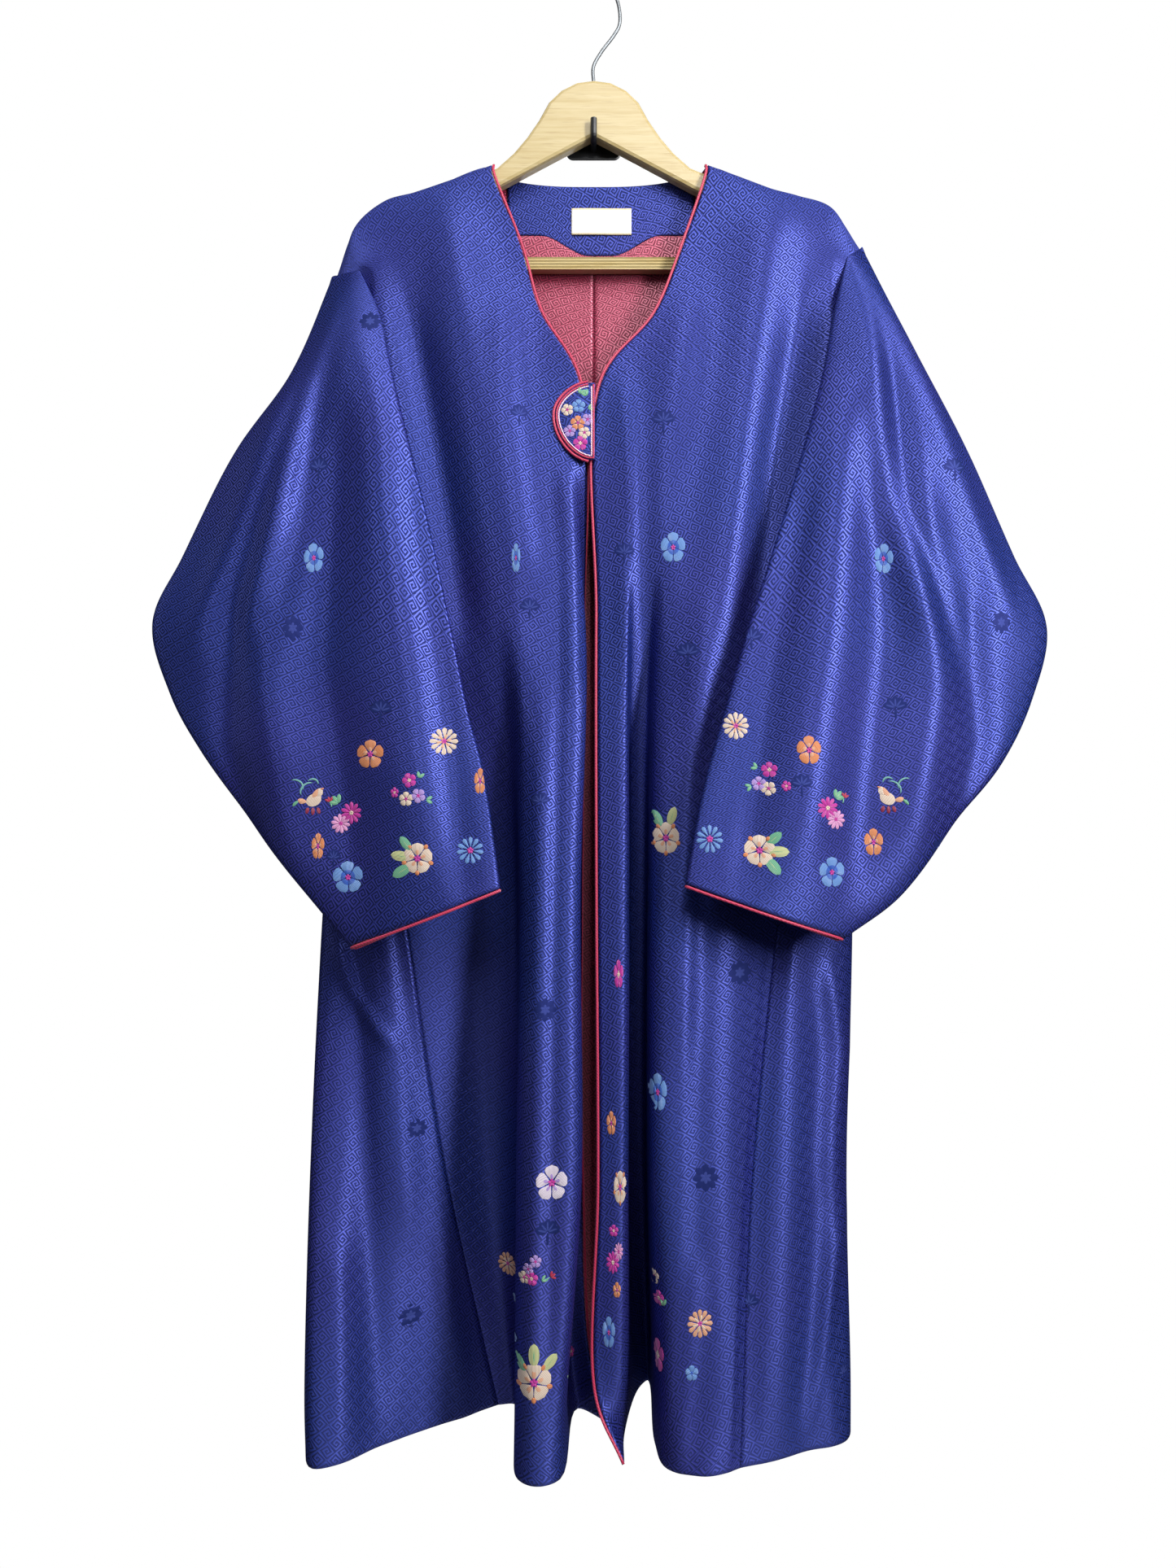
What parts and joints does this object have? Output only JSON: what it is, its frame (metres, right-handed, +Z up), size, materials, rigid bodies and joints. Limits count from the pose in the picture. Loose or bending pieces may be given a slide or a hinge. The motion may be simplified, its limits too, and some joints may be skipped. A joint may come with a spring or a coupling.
{
  "type": "silk coat jacket on a wooden hanger and a wall hook",
  "caption": "Knee length open silk coat jacket with wide curved sleeves, side gussets, piped edges and a half moon closure tab, hung by a wooden hanger on a small wall hook.",
  "frame": {"origin": "middle of the wall plate's back face, where the wall hook is fixed to the wall", "axes": "+X to the viewer's right, +Y into the wall, +Z up; the jacket's front faces -Y"},
  "size_m": [0.7066, 0.1698, 1.1714],
  "materials": {
    "navy_silk": "satin jacquard silk with a woven key fret",
    "red_lining": "crimson silk damask lining",
    "red_piping": "crimson satin bias piping",
    "label_tape": "plain woven tape",
    "pale_wood": "clear lacquered pale wood",
    "grey_wire": "zinc plated wire",
    "black_paint": "black satin paint"
  },
  "bodies": {
    "root": {"front_left": "navy_silk", "front_right": "navy_silk", "side_gusset_left": "navy_silk", "side_gusset_right": "navy_silk", "back_left": "navy_silk", "back_right": "navy_silk", "sleeve_left": "navy_silk", "sleeve_right": "navy_silk", "piping_front_left": "red_piping", "piping_front_right": "red_piping", "piping_cuff_left": "red_piping", "piping_cuff_right": "red_piping", "back_neck_facing": "navy_silk", "neck_label": "label_tape", "back_lining_left": "red_lining", "back_lining_right": "red_lining", "cuff_lining_left": "red_lining", "cuff_lining_right": "red_lining", "closure_tab": "navy_silk", "piping_tab": "red_piping", "hanger_body": "pale_wood", "hanger_bar": "pale_wood", "hanger_hook": "grey_wire", "wall_plate": "black_paint", "wall_hook": "black_paint"}
  },
  "joints": []
}
